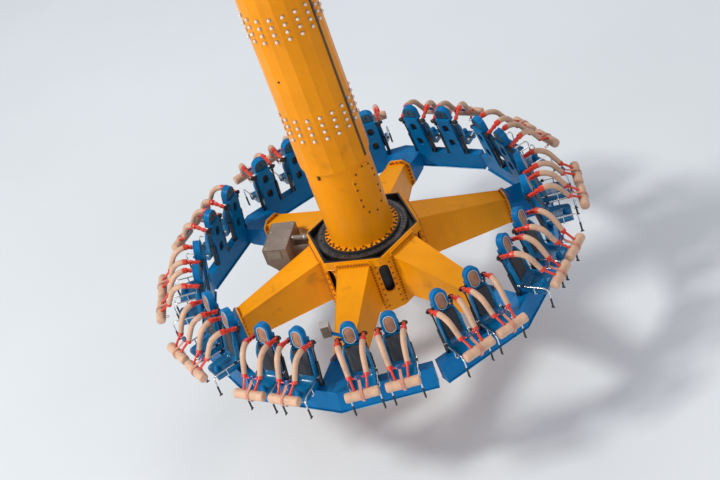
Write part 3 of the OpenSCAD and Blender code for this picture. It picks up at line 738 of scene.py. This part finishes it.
def swell(mesh, voxel, cap, frames=16, pressure=4.0):
    """Cloth simulation that puffs a closed form, with each point's travel capped. It returns the new mesh."""
    obj = placed("soft_form", mesh)
    remesh = obj.modifiers.new("even", "REMESH")
    remesh.mode = "VOXEL"
    remesh.voxel_size = voxel
    remesh.use_smooth_shade = True
    view = bpy.context.evaluated_depsgraph_get()
    even = bpy.data.meshes.new_from_object(obj.evaluated_get(view))
    obj.modifiers.remove(remesh)
    obj.data = even
    rest = [v.co.copy() for v in even.vertices]
    cloth = obj.modifiers.new("cloth", "CLOTH")
    fabric = cloth.settings
    fabric.quality = 5
    fabric.mass = 0.4
    fabric.tension_stiffness = 30
    fabric.compression_stiffness = 30
    fabric.shear_stiffness = 10
    fabric.bending_stiffness = 2
    fabric.use_pressure = True
    fabric.uniform_pressure_force = pressure
    fabric.effector_weights.gravity = 0
    cloth.collision_settings.use_collision = False
    cloth.point_cache.frame_start = 1
    cloth.point_cache.frame_end = frames
    scene = bpy.context.scene
    for f in range(1, frames + 1):
        scene.frame_set(f)
    view = bpy.context.evaluated_depsgraph_get()
    puffed = obj.evaluated_get(view)
    moved = [v.co.copy() for v in puffed.data.vertices]
    scene.frame_set(1)
    obj.modifiers.remove(cloth)
    for v, was, now in zip(even.vertices, rest, moved):
        step = now - was
        if step.length > cap:
            step *= cap / step.length
        v.co = was + step
    even.update()
    bpy.data.objects.remove(obj)
    return even


def soften(mesh, name, look):
    """The mesh under its name, smooth and in one material."""
    mesh.name = name
    mesh.materials.clear()
    mesh.materials.append(look)
    mesh.polygons.foreach_set("material_index", [0] * len(mesh.polygons))
    mesh.polygons.foreach_set("use_smooth", [True] * len(mesh.polygons))
    mesh.update()
    return mesh


# Frame of the back pad: X out of the shell's back, Y across, Z up it from the pad's foot
PAD_LOW = SEAT_Z + 0.11
PAD_TALL = (0.03 - PAD_LOW) / math.cos(LEAN)
BACK_AT = shift(front_r(PAD_LOW) + 0.05 / math.cos(LEAN), 0, PAD_LOW) @ Matrix.Rotation(-LEAN, 4, "Y")


def back_pad_mesh():
    """Back pad with rounded corners and pressed seams."""
    half = 0.178 - 0.008
    outline = []
    y, low, high = half - 0.05, 0.06, PAD_TALL - 0.06
    for cy, cz, a0 in ((y, high, 0), (-y, high, 90), (-y, low, 180), (y, low, 270)):
        for i in range(5):
            a = math.radians(a0 + i * 22.5)
            outline.append((cy + 0.045 * math.cos(a), cz + 0.05 * math.sin(a)))
    shape = Shape()
    rings = []
    for x, f in ((0.003, 0.90), (0.006, 0.99), (0.012, 1.0), (0.020, 1.0), (0.025, 0.97), (0.028, 0.90)):
        rings.append([(x, y * f, PAD_TALL / 2 + (z - PAD_TALL / 2) * f) for y, z in outline])
    shape.add(loft(rings))
    mesh = soften(swell(shape.mesh("form", []), 0.012, 0.009), "back_pad", DARK_PAD)
    for v in mesh.vertices:
        y, z = v.co.y, v.co.z
        v.co.x = max(v.co.x, 0.0015)
        if v.co.x > 0.018:
            groove = 0.0
            for line in (-0.062, 0.062):
                groove = max(groove, math.exp(-((y - line) / 0.006) ** 2))
            for line in (0.18, 0.34):
                if abs(y) < 0.062:
                    groove = max(groove, math.exp(-((z - line) / 0.006) ** 2))
            v.co.x -= 0.006 * groove
            v.co.x += 0.0012 * noise(Vector((y * 30, z * 30, 3)))
    mesh.update()
    return mesh


def head_pad_mesh():
    """Oval headrest pad with one pressed seam."""
    w = HEAD_W - 2 * HEAD_RIM - 0.008
    h = w + HEAD_SKIRT - 0.06
    shape = Shape()
    outline = racetrack(w, h, 24)
    rings = []
    for x, f in ((0.002, 0.93), (0.006, 1.0), (0.045, 1.0), (0.055, 0.96), (0.060, 0.86)):
        rings.append([(x, y * f, z * f) for y, z in outline])
    shape.add(loft(rings))
    mesh = soften(swell(shape.mesh("form", []), 0.008, 0.008), "head_pad", TAN_PAD)
    for v in mesh.vertices:
        v.co.x = max(v.co.x, 0.001)
        if v.co.x > 0.05:
            v.co.x -= 0.004 * math.exp(-((v.co.z + 0.01) / 0.005) ** 2)
    mesh.update()
    return mesh


def head_frame(at_x):
    """Frame in the middle of the headrest's recess, at_x in front of the post."""
    head = up(HEAD_Z) - HEAD_W / 2
    return LEANED @ shift(POST_T + at_x, 0, head - HEAD_SKIRT / 2 + 0.015)


def head_trim_mesh():
    """Rounded rims of the headrest's cap and of its recess."""
    shape = Shape()
    w = HEAD_W - 2 * HEAD_RIM
    inner = racetrack(w + 0.004, w + 0.134, 28)
    at = head_frame(CAP_T)
    shape.add(sweep([(0.001, y, z) for y, z in inner], 0.007, 8, closed=True), at, 1)
    head = up(HEAD_Z) - HEAD_W / 2
    half = HEAD_W / 2
    arc = [(half * math.cos(a), half * math.sin(a)) for a in (math.pi * i / 20 for i in range(21))]
    cap = [(half, -HEAD_SKIRT)] + arc + [(-half, -HEAD_SKIRT)]
    for x, r in ((CAP_T, 0.008), (0.0, 0.006)):
        rim = sweep([(x, y * 0.985, z) for y, z in cap], r, 8, ends=0.004)
        shape.add(rim, LEANED @ shift(POST_T, 0, head))
    return shape.mesh("head_trim", [RING_PAINT, PALE_TRIM], 50)


def tube_point(x, z, side):
    """Place on the yawed plane of a shoulder tube, measured from the pivot."""
    dx = x - TUBE_START[0]
    return Vector((TUBE_START[0] + dx * math.cos(YAW), side * (TUBE_OUT - dx * math.sin(YAW)), z))


def tube_path(side, last=TUBE_RUN, steps=16):
    """Middle line of a shoulder tube: the bend, then the straight run of that length."""
    pts = []
    for i in range(steps + 1):
        a = math.pi / 2 + RISE - (RISE + FALL) * i / steps
        pts.append((BEND_AT[0] + BEND_R * math.cos(a), BEND_AT[1] + BEND_R * math.sin(a)))
    for i in range(1, 9):
        s = last * i / 8
        pts.append((BEND_END[0] + s * math.cos(FALL), BEND_END[1] - s * math.sin(FALL)))
    return [tube_point(x, z, side) for x, z in pts]


def shoulder_pad_mesh(side):
    """Foam sleeve, a little slack at its seams and slimmer towards the lap."""
    pts = tube_path(side, TUBE_RUN - 0.045, 22)[4:]
    n = len(pts)
    radii = []
    for i in range(n):
        f = i / (n - 1)
        r = PAD_R - 0.002 - 0.006 * max(0.0, f - 0.45) / 0.55
        for seam in (0.30, 0.62):
            r -= 0.0022 * math.exp(-((f - seam) / 0.018) ** 2)
        r += 0.0010 * noise(Vector((f * 9, side * 3, 1)))
        radii.append(r)
    shape = Shape()
    shape.add(sweep(pts, radii, 26, ends=0.014))
    name = "shoulder_pad_left" if side > 0 else "shoulder_pad_right"
    return soften(shape.mesh("pad", [BEIGE_PAD], 60), name, BEIGE_PAD)


def roller_mesh():
    """Padded lap roller with two pressed seams."""
    shape = Shape()
    half = ROLLER_W / 2 - 0.012
    profile = [(0, -half), (0.05, -half), (0.078, 0.004 - half), (0.087, 0.016 - half), (0.088, 0.04 - half)]
    profile += [(0.088, y) for y in (-0.15, 0, 0.15)]
    profile += [(r, -y) for r, y in profile[4::-1]]
    shape.add(lathe(profile, 32), turn(90, "X"))
    mesh = soften(swell(shape.mesh("form", []), 0.015, 0.007), "lap_roller", BEIGE_PAD)
    for v in mesh.vertices:
        r = math.hypot(v.co.x, v.co.z)
        if r > 0.05:
            wave = 0.0
            for line in (-0.155, 0.155):
                wave -= 0.004 * math.exp(-((v.co.y - line) / 0.007) ** 2)
            wave += 0.0022 * noise(Vector((v.co.x * 10, v.co.y * 14, v.co.z * 10)))
            f = min(1.0, (ROLLER_R - 0.0005) / r) if r > ROLLER_R else 1.0
            v.co.x *= f * (1 + wave / r)
            v.co.z *= f * (1 + wave / r)
    mesh.update()
    return mesh


def restraint_frame_mesh():
    """Red brackets, collars, lower bars and crossbar, with the blue chest piece."""
    shape = Shape()
    hub = (ROLLER_AT[0] - PIVOT_R, ROLLER_AT[1] - PIVOT_Z)
    foot_y = TUBE_OUT - (TUBE_END[0] - TUBE_START[0]) * math.tan(YAW)
    eye = hoop([(0.0256, -0.026), (0.0420, -0.026), (0.0432, -0.024), (0.0432, 0.024), (0.0420, 0.026),
                (0.0256, 0.026)], 28)
    stations = ((0.030, 0.036, 0.022), (0.060, 0.034, 0.021), (0.085, 0.038, 0.025), (0.110, 0.033, 0.021),
                (0.165, 0.033, 0.021), (0.190, 0.038, 0.026), (0.215, 0.036, 0.023), (0.262, 0.038, 0.026))
    bracket = [[(x, y, z) for y, z in octagon(hy, hz, 0.007)] for x, hz, hy in stations]
    out = 0.027
    knuckle = lathe([(0, -out), (0.034, -out), (0.037, -0.024), (0.037, 0.024), (0.034, out), (0, out)], 20)
    for side in (-1, 1):
        at = shift(0, side * TUBE_OUT, 0)
        shape.add(eye, at @ turn(90, "X"), 1)
        arm = at @ Matrix.Rotation(-BRACKET_RISE, 4, "Y")
        shape.add(loft(bracket), arm)
        for x in (0.095, 0.200):
            shape.add(knuckle, arm @ shift(x, 0, 0) @ turn(90, "X"))
            for s in (-1, 1):
                screw = arm @ shift(x, s * out, 0) @ turn(-90 * s, "X")
                shape.add(hex_bolt(0.011, 0.008, False), screw, 1)
        pts = tube_path(side)
        collar = [pts[0] + (pts[0] - pts[1]).normalized() * d for d in (0.020, 0.006)] + pts[:4]
        shape.add(sweep(collar, [0.030, 0.046, 0.0535, 0.0535, 0.0535, 0.050], 24))
        for k in (0, 2):
            shape.add(sweep([pts[k], pts[k].lerp(pts[k + 1], 0.5)], 0.0550, 24))
        low = [pts[-1].lerp(pts[-3], f) for f in (0.85, 0.8, 0.1, 0.0)]
        shape.add(sweep(low, [0.046, 0.052, 0.050, 0.040], 24), kind=2)
        a = Vector((TUBE_END[0] - 0.02, side * foot_y, TUBE_END[1] + 0.03))
        b = Vector((hub[0], side * (foot_y - 0.05), hub[1] + 0.04))
        bow = (a + b) / 2 + Vector((0.012, 0, 0.006))
        bar = [a.lerp(bow, f).lerp(bow.lerp(b, f), f) for f in (i / 6 for i in range(7))]
        shape.add(sweep(bar, 0.0215, 14))
        shape.add(sweep(bar[4:6], 0.0265, 14))
    crossbar = [(TUBE_END[0], y, TUBE_END[1]) for y in (-foot_y, foot_y)]
    shape.add(sweep(crossbar, 0.0148, 12))
    disc = lathe([(0, -0.020), (0.050, -0.020), (0.061, -0.014), (0.0645, 0), (0.061, 0.012), (0.050, 0.019),
                  (0.026, 0.022), (0.024, 0.0195), (0, 0.0195)], 32)
    chest = shift(TUBE_END[0], 0, TUBE_END[1]) @ Matrix.Rotation(FALL, 4, "Y")
    shape.add(disc, chest @ Matrix.Diagonal((0.82, 1.0, 1.0, 1.0)), 3)
    return shape.mesh("restraint_frame", [RED_PAINT, BLACK_RUBBER, RED_PAINT, CHEST_BLUE], 40)


def strap_mesh():
    """Webbing from the chest piece over the roller, ending in a red loop."""
    hub = Vector((ROLLER_AT[0] - PIVOT_R, 0, ROLLER_AT[1] - PIVOT_Z))
    chest = Vector((TUBE_END[0], 0, TUBE_END[1]))
    path = [chest + Vector((0.020, 0, -0.010)), chest + Vector((0.075, 0, -0.055))]
    for a in (75, 55, 35, 15, -5, -25, -45):
        t = math.radians(a)
        path.append(hub + (ROLLER_R + 0.004) * Vector((math.cos(t), 0, math.sin(t))))
    path += [hub + Vector((0.03, 0, -0.13)), hub + Vector((-0.02, 0, -0.155))]
    rings = []
    n = len(path)
    half = Vector((0, 0.024, 0))
    for i, p in enumerate(path):
        d = (path[min(i + 1, n - 1)] - path[max(i - 1, 0)]).normalized()
        thick = 0.0022 * Vector((d.z, 0, -d.x))
        rings.append([p + half - thick, p + half + thick, p - half + thick, p - half - thick])
    shape = Shape()
    shape.add(loft(rings))
    middle = path[-1] + Vector((-0.035, 0, -0.010))
    loop = [middle + Vector((0.034 * math.cos(a), 0.026 * math.sin(a), 0.004 * math.cos(a)))
            for a in (2 * math.pi * k / 16 for k in range(16))]
    shape.add(sweep(loop, 0.0055, 8, closed=True), kind=1)
    return shape.mesh("restraint_strap", [STRAP, RED_PAINT], 40)


def post_trim_mesh():
    """Rounded plate edges, black plates in the oval holes (dark seat back and painted shade), a darker plate
    of painted shade on the head's back, and the pivot's sleeves.
    """
    shape = Shape()
    head = up(HEAD_Z) - HEAD_W / 2
    foot = up(POST_FOOT_Z)
    step = (up(STEP_Z) - foot) / (head - foot)
    low_y = 0.1535
    step_y = low_y + (HEAD_W / 2 - 0.001 - low_y) * step
    for s in (-1, 1):
        edge = [(0.001, s * low_y, foot + 0.004), (0.001, s * step_y, up(STEP_Z) - 0.002)]
        shape.add(sweep(edge, 0.0045, 6), LEANED)
    for z in HOLES_Z:
        hole = racetrack(HOLE_W, HOLE_H, 24)
        shape.add(sweep([(0.0005, y, up(z) + dz) for y, dz in hole], 0.0042, 6, closed=True), LEANED)
        # A black plate inside each hole: partly the dark seat back seen through it, partly painted shade in
        # the hole.
        plug = racetrack(HOLE_W - 0.003, HOLE_H - 0.003, 24)
        shape.add(loft([[(x, y, up(z) + dz) for y, dz in plug] for x in (0.046, 0.050)]), LEANED, 1)
    # A darker blue plate over the back of the head: painted shade where the set-back head lies in shadow.
    margin = 0.012
    half = step_y - margin
    back = [(-half, up(STEP_Z) + margin), (half, up(STEP_Z) + margin)]
    r = HEAD_W / 2 - margin
    back += [(r * math.cos(a), head + r * math.sin(a)) for a in (math.pi * i / 16 for i in range(17))]
    mid = head - 0.06
    shape.add(loft([[(x, y * f, mid + (z - mid) * f) for y, z in back]
                    for x, f in ((0.0452, 1.0), (0.040, 1.0), (0.036, 0.97), (0.034, 0.92))]), LEANED, 2)
    shape.add(box((0.030, -0.014, head - 0.02), (0.036, 0.014, head + 0.07), 0.002), LEANED, 1)
    for y in (-0.09, 0.09):
        for z in (head - 0.14, head + 0.02):
            shape.add(hex_bolt(0.010, 0.010), LEANED @ shift(0.035, y, z) @ turn(-90, "Y"), 1)
    sleeve = lathe([(0, 0), (0.026, 0), (0.028, 0.003), (0.028, 0.022), (0.024, 0.028), (0, 0.028)], 18)
    collar = lathe([(0.0253, 0), (0.0275, 0), (0.0275, 0.058), (0.0253, 0.058)], 18)
    for s in (-1, 1):
        shape.add(sleeve, shift(PIVOT_R, s * 0.256, PIVOT_Z) @ turn(-90 * s, "X"), 1)
        shape.add(collar, shift(PIVOT_R, s * 0.142, PIVOT_Z) @ turn(-90 * s, "X"), 1)
    return shape.mesh("post_trim", [RING_PAINT, BLACK_RUBBER, HEAD_SHADE_PAINT], 50)


def box_dress():
    """Painted strut, pale lid of painted light on the top, dark door and side panel of painted shade, and
    cable gland of the control box.
    """
    shape = Shape()
    start = BOX_AT - Vector((0, 0, BOX_HALF.z / 2))
    end = Vector((inner_r(STRUT_Z) - 0.034, STRUT_Y, STRUT_Z))
    way = (end - start).normalized()
    shape.add(sweep([start + way * 0.07, end - way * 0.004], 0.031, 20))
    lo, hi = BOX_AT - BOX_HALF, BOX_AT + BOX_HALF
    # A pale grey lid: painted light on the box's top.
    lid = box((lo.x - 0.006, lo.y - 0.006, hi.z - 0.004), (hi.x + 0.006, hi.y + 0.006, hi.z + 0.010), 0.004)
    shape.add(lid, kind=1)
    # The door and the side panel in dark brown: painted shade on the box's sides.
    door = box((hi.x - 0.002, lo.y + 0.012, lo.z + 0.014), (hi.x + 0.006, hi.y - 0.012, hi.z - 0.016), 0.003)
    shape.add(door, kind=2)
    side = box((lo.x + 0.014, lo.y - 0.006, lo.z + 0.014), (hi.x - 0.014, lo.y + 0.002, hi.z - 0.016), 0.003)
    shape.add(side, kind=2)
    gland = lathe([(0, 0), (0.018, 0), (0.018, 0.020), (0.012, 0.026), (0, 0.026)], 12)
    shape.add(gland, shift(BOX_AT.x - 0.03, BOX_AT.y + 0.04, lo.z) @ turn(180, "X"), 3)
    mesh = shape.mesh("control_box_trim", [RING_PAINT, BOX_LID_LIT, BOX_SIDE_SHADE, BLACK_RUBBER])
    ride(placed("control_box_trim", mesh, seat_at(BOX_SEAT)), "gondola")


def cover_dress():
    """Tapered sump, inspection pane, edge beads and clamps of the drive housing."""
    shape = Shape()
    at = turn(SPOKE_TURN + COVER_TURN) @ shift(0, 0, HUB_Z)
    near, far, half, foot = COVER_NEAR, COVER_FAR, COVER_HALF, COVER_FOOT
    sections = []
    for z, x0, x1, left, right in ((0.004, 0.004, 1.738, 0.004, 0.004), (-0.05, 0.015, 1.715, 0.03, 0.01),
                                   (-0.13, 0.06, 1.660, 0.12, 0.06), (-0.14, 0.07, 1.650, 0.13, 0.07)):
        x0, y0, y1, z = near + x0, left - half, half - right, foot + z
        sections.append([(x0, y0, z), (x1, y0, z), (x1, y1, z), (x0, y1, z)])
    shape.add(loft(sections), at)
    edges = [[(far, y, -0.33), (far, y, 0), (near, y, 0), (near, y, foot)] for y in (half, -half)]
    edges += [[(x, -half, 0), (x, half, 0)] for x in (far, near)]
    for edge in edges:
        shape.add(sweep(edge, 0.007, 6), at)
    x0, x1, z0, z1 = near + 0.13, far - 0.06, -0.215, -0.045
    shape.add(box((x0, half - 0.001, z0), (x1, half + 0.006, z1), 0.003), at, 1)
    pane = [(x, half + 0.004, z) for x, z in ((x0, z0), (x1, z0), (x1, z1), (x0, z1))]
    shape.add(sweep(pane, 0.006, 6, closed=True), at)
    band = hoop([(0.0455, -0.012), (0.051, -0.012), (0.051, 0.012), (0.0455, 0.012)], 24)
    for x in (1.14, 1.36):
        shape.add(band, at @ shift(x, 0, -0.075) @ OUTWARD, 2)
    for x in (near + 0.05, far - 0.05):
        for y in (0.06 - half, -0.13, 0.13, half - 0.06):
            shape.add(hex_bolt(0.010, 0.009), at @ shift(x, y, 0), 2)
    fixed("drive_cover_trim", shape, [COVER_PAINT, PANE, BOLT_STEEL], "gondola")


def ring_lips():
    """Pale blue strips along the beams' lower lips: a painted highlight of sky reflected on their edges."""
    shape = Shape()
    half = 0.80
    inner, outer = RING_R - 0.024, RING_R + BEAM_W + 0.024
    low, high = BEAM_FOOT - 0.015, BEAM_FOOT - 0.001
    for k in range(BEAMS):
        for x0, x1 in ((inner - 0.004, inner + 0.001), (outer - 0.001, outer + 0.004)):
            strip = box((x0, -half, low), (x1, half, high), 0.0015)
            shape.add(strip, turn(30 * k) @ shift(0, 0, HUB_Z))
    fixed("beam_lip_painted_highlights", shape, [LIP_HIGHLIGHT], "gondola")


def rail_dress_mesh():
    """Black grips and feet on the seat's two side rails, and the clamps that hold them."""
    shape = Shape()
    leg_r = front_r(SEAT_Z) + SEAT_DEPTH + 0.09
    for s in (-1, 1):
        y = s * (SEAT_W / 2 + 0.034)
        grip = [(leg_r, y, z) for z in (-0.71, -0.72, -0.915, -0.925)]
        shape.add(sweep(grip, [0.0145, 0.0175, 0.0175, 0.0150], 14))
        foot = sweep([(leg_r - 0.028, y, -0.918), (leg_r + 0.028, y, -0.918)], 0.012, 10, ends=0.008)
        shape.add(foot)
        x = front_r(SEAT_Z) + 0.12
        shape.add(box((x - 0.030, -0.020, -0.024), (x + 0.030, 0.018, 0.024), 0.005), shift(0, y, -0.50))
    return shape.mesh("rail_dress", [BLACK_RUBBER], 40)


lamp_bands()
arm_bolts()
arm_trims()
hub_bolts()
hub_trims()
spoke_dress()
ring_lips()
box_dress()
gear_bolts()
seals()
cover_dress()

MESHES = {
    "seat_shell": shell_mesh(), "back_pad": back_pad_mesh(), "head_pad": head_pad_mesh(),
    "head_trim": head_trim_mesh(), "rail_dress": rail_dress_mesh(), "post_trim": post_trim_mesh(),
    "restraint_frame": restraint_frame_mesh(), "restraint_strap": strap_mesh(),
    "shoulder_pad_left": shoulder_pad_mesh(1), "shoulder_pad_right": shoulder_pad_mesh(-1),
    "lap_roller": roller_mesh(),
}


def copy_of(kind, tag, at, body):
    """One seat's copy of a mesh, riding on a body."""
    return ride(placed(kind + tag, MESHES[kind], at), body)


for i in range(SEATS):
    tag = "_%02d" % (i + 1)
    home = seat_at(i)
    pivot = pivot_at(i)
    shell = copy_of("seat_shell", tag, home, "gondola")
    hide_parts("seat_shells")
    pad = copy_of("back_pad", tag, home @ BACK_AT, "gondola")
    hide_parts("back_pads")
    pad = copy_of("head_pad", tag, home @ head_frame(0), "gondola")
    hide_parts("head_pads")
    for kind in ("head_trim", "post_trim", "rail_dress"):
        copy_of(kind, tag, home, "gondola")
    body = "restraint" + tag
    bars = copy_of("restraint_frame", tag, pivot, body)
    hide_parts(body)
    for kind in ("shoulder_pad_left", "shoulder_pad_right"):
        pad = copy_of(kind, tag, pivot, body)
    at = pivot @ shift(ROLLER_AT[0] - PIVOT_R, 0, ROLLER_AT[1] - PIVOT_Z)
    pad = copy_of("lap_roller", tag, at, body)
    copy_of("restraint_strap", tag, pivot, body)


# Floor, light and camera

FLOOR_HALF = 120

# Camera: its direction and roll in degrees, distance, aim and lens
VIEW_AZ = 9.057
VIEW_EL = 36.299
VIEW_ROLL = -20.653
VIEW_FAR = 31.448
AIM_X = 0.0324
AIM_Y = 0.2279
LENS_MM = 86.925
SENSOR_MM = 36


def floor():
    mesh = bpy.data.meshes.new("floor")
    s = FLOOR_HALF
    mesh.from_pydata([(-s, -s, 0), (s, -s, 0), (s, s, 0), (-s, s, 0)], [], [[0, 1, 2, 3]])
    mesh.materials.append(material("floor_pale", (0.72, 0.76, 0.82), 0.9, vary=0.02, scale=0.2, spec=0.1))
    placed("floor", mesh, shift(0, 0, -9.2))


def lamp(name, place, target, size, watts, color):
    data = bpy.data.lights.new(name, "AREA")
    data.shape = "DISK"
    data.size = size
    data.energy = watts
    data.color = color
    way = Vector(target) - Vector(place)
    placed(name, data, Matrix.Translation(place) @ way.to_track_quat("-Z", "Y").to_matrix().to_4x4())


def camera():
    az, el, roll = math.radians(VIEW_AZ), math.radians(VIEW_EL), math.radians(VIEW_ROLL)
    back = Vector((math.sin(az) * math.cos(el), -math.cos(az) * math.cos(el), math.sin(el)))
    right = Vector((math.cos(az), math.sin(az), 0))
    upward = back.cross(right)
    c, s = math.cos(roll), math.sin(roll)
    x = c * right + s * upward
    y = -s * right + c * upward
    eye = back * VIEW_FAR - x * AIM_X - y * AIM_Y + Vector((0, 0, HUB_Z))
    data = bpy.data.cameras.new("camera")
    data.sensor_width = SENSOR_MM
    data.lens = LENS_MM
    data.clip_end = 300
    rotation = Matrix((x, y, back)).transposed().to_4x4()
    bpy.context.scene.camera = placed("camera", data, Matrix.Translation(eye) @ rotation)


floor()
camera()
centre = (0, 0, HUB_Z)
lamp("key", (-36, -10, 36), centre, 10, 20000, (1.0, 0.99, 0.90))
lamp("fill", (18, -14, 4), centre, 12, 900, (1.0, 0.93, 0.84))
lamp("low", (-15, -19, -6), centre, 12, 2200, (1.0, 0.93, 0.82))
lamp("rim", (4, 18, 12), centre, 10, 900, (1.0, 0.98, 0.95))

world = bpy.data.worlds.new("sky")
world.use_nodes = True
sky = world.node_tree.nodes["Background"].inputs
sky["Color"].default_value = (0.86, 0.88, 0.92, 1)
sky["Strength"].default_value = 0.50
bpy.context.scene.world = world
bpy.context.scene.view_settings.view_transform = "Standard"
